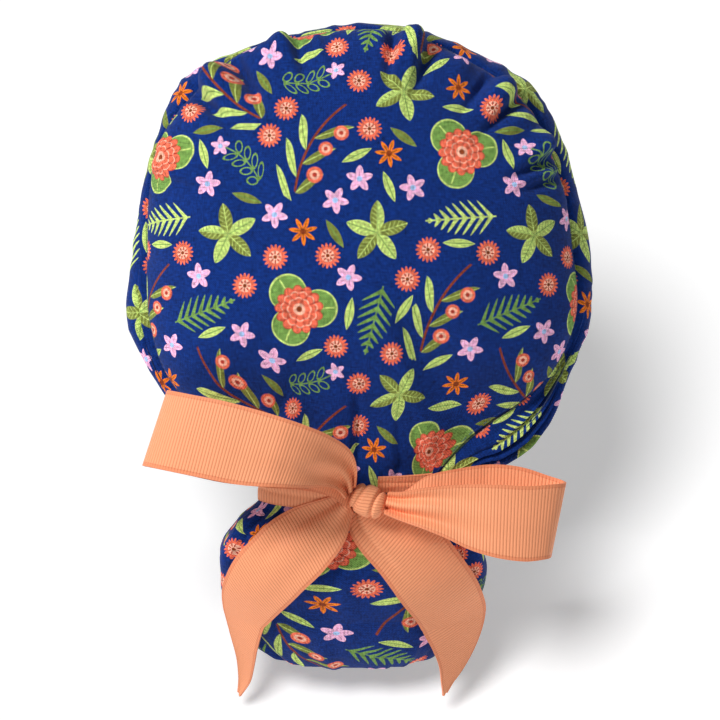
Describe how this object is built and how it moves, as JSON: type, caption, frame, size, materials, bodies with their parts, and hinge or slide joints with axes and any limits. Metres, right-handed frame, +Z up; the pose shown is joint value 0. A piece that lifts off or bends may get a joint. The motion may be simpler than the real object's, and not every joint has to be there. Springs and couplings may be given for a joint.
{
  "type": "ponytail scrub cap with ribbon bow",
  "caption": "Worn scrub cap of printed cotton with a puffed crown, side band, ponytail pouch and a grosgrain ribbon bow behind.",
  "frame": {"origin": "where the top of a level head touches inside the crown", "axes": "+Z up, +Y towards the forehead, +X to the wearer's right; the crown panel and the bow face back and up"},
  "size_m": [0.2241, 0.2356, 0.3071],
  "materials": {
    "printed_cotton": "plain woven cotton with a dense print of flowers and leaves",
    "grosgrain_ribbon": "ribbed grosgrain ribbon with woven edges"
  },
  "bodies": {
    "root": {"crown_panel": "printed_cotton", "side_band": "printed_cotton", "ponytail_pouch": "printed_cotton", "ribbon_strap_left": "grosgrain_ribbon", "ribbon_strap_right": "grosgrain_ribbon", "ribbon_knot": "grosgrain_ribbon", "ribbon_loop_left": "grosgrain_ribbon", "ribbon_loop_right": "grosgrain_ribbon", "ribbon_tail_left": "grosgrain_ribbon", "ribbon_tail_right": "grosgrain_ribbon"}
  },
  "joints": []
}
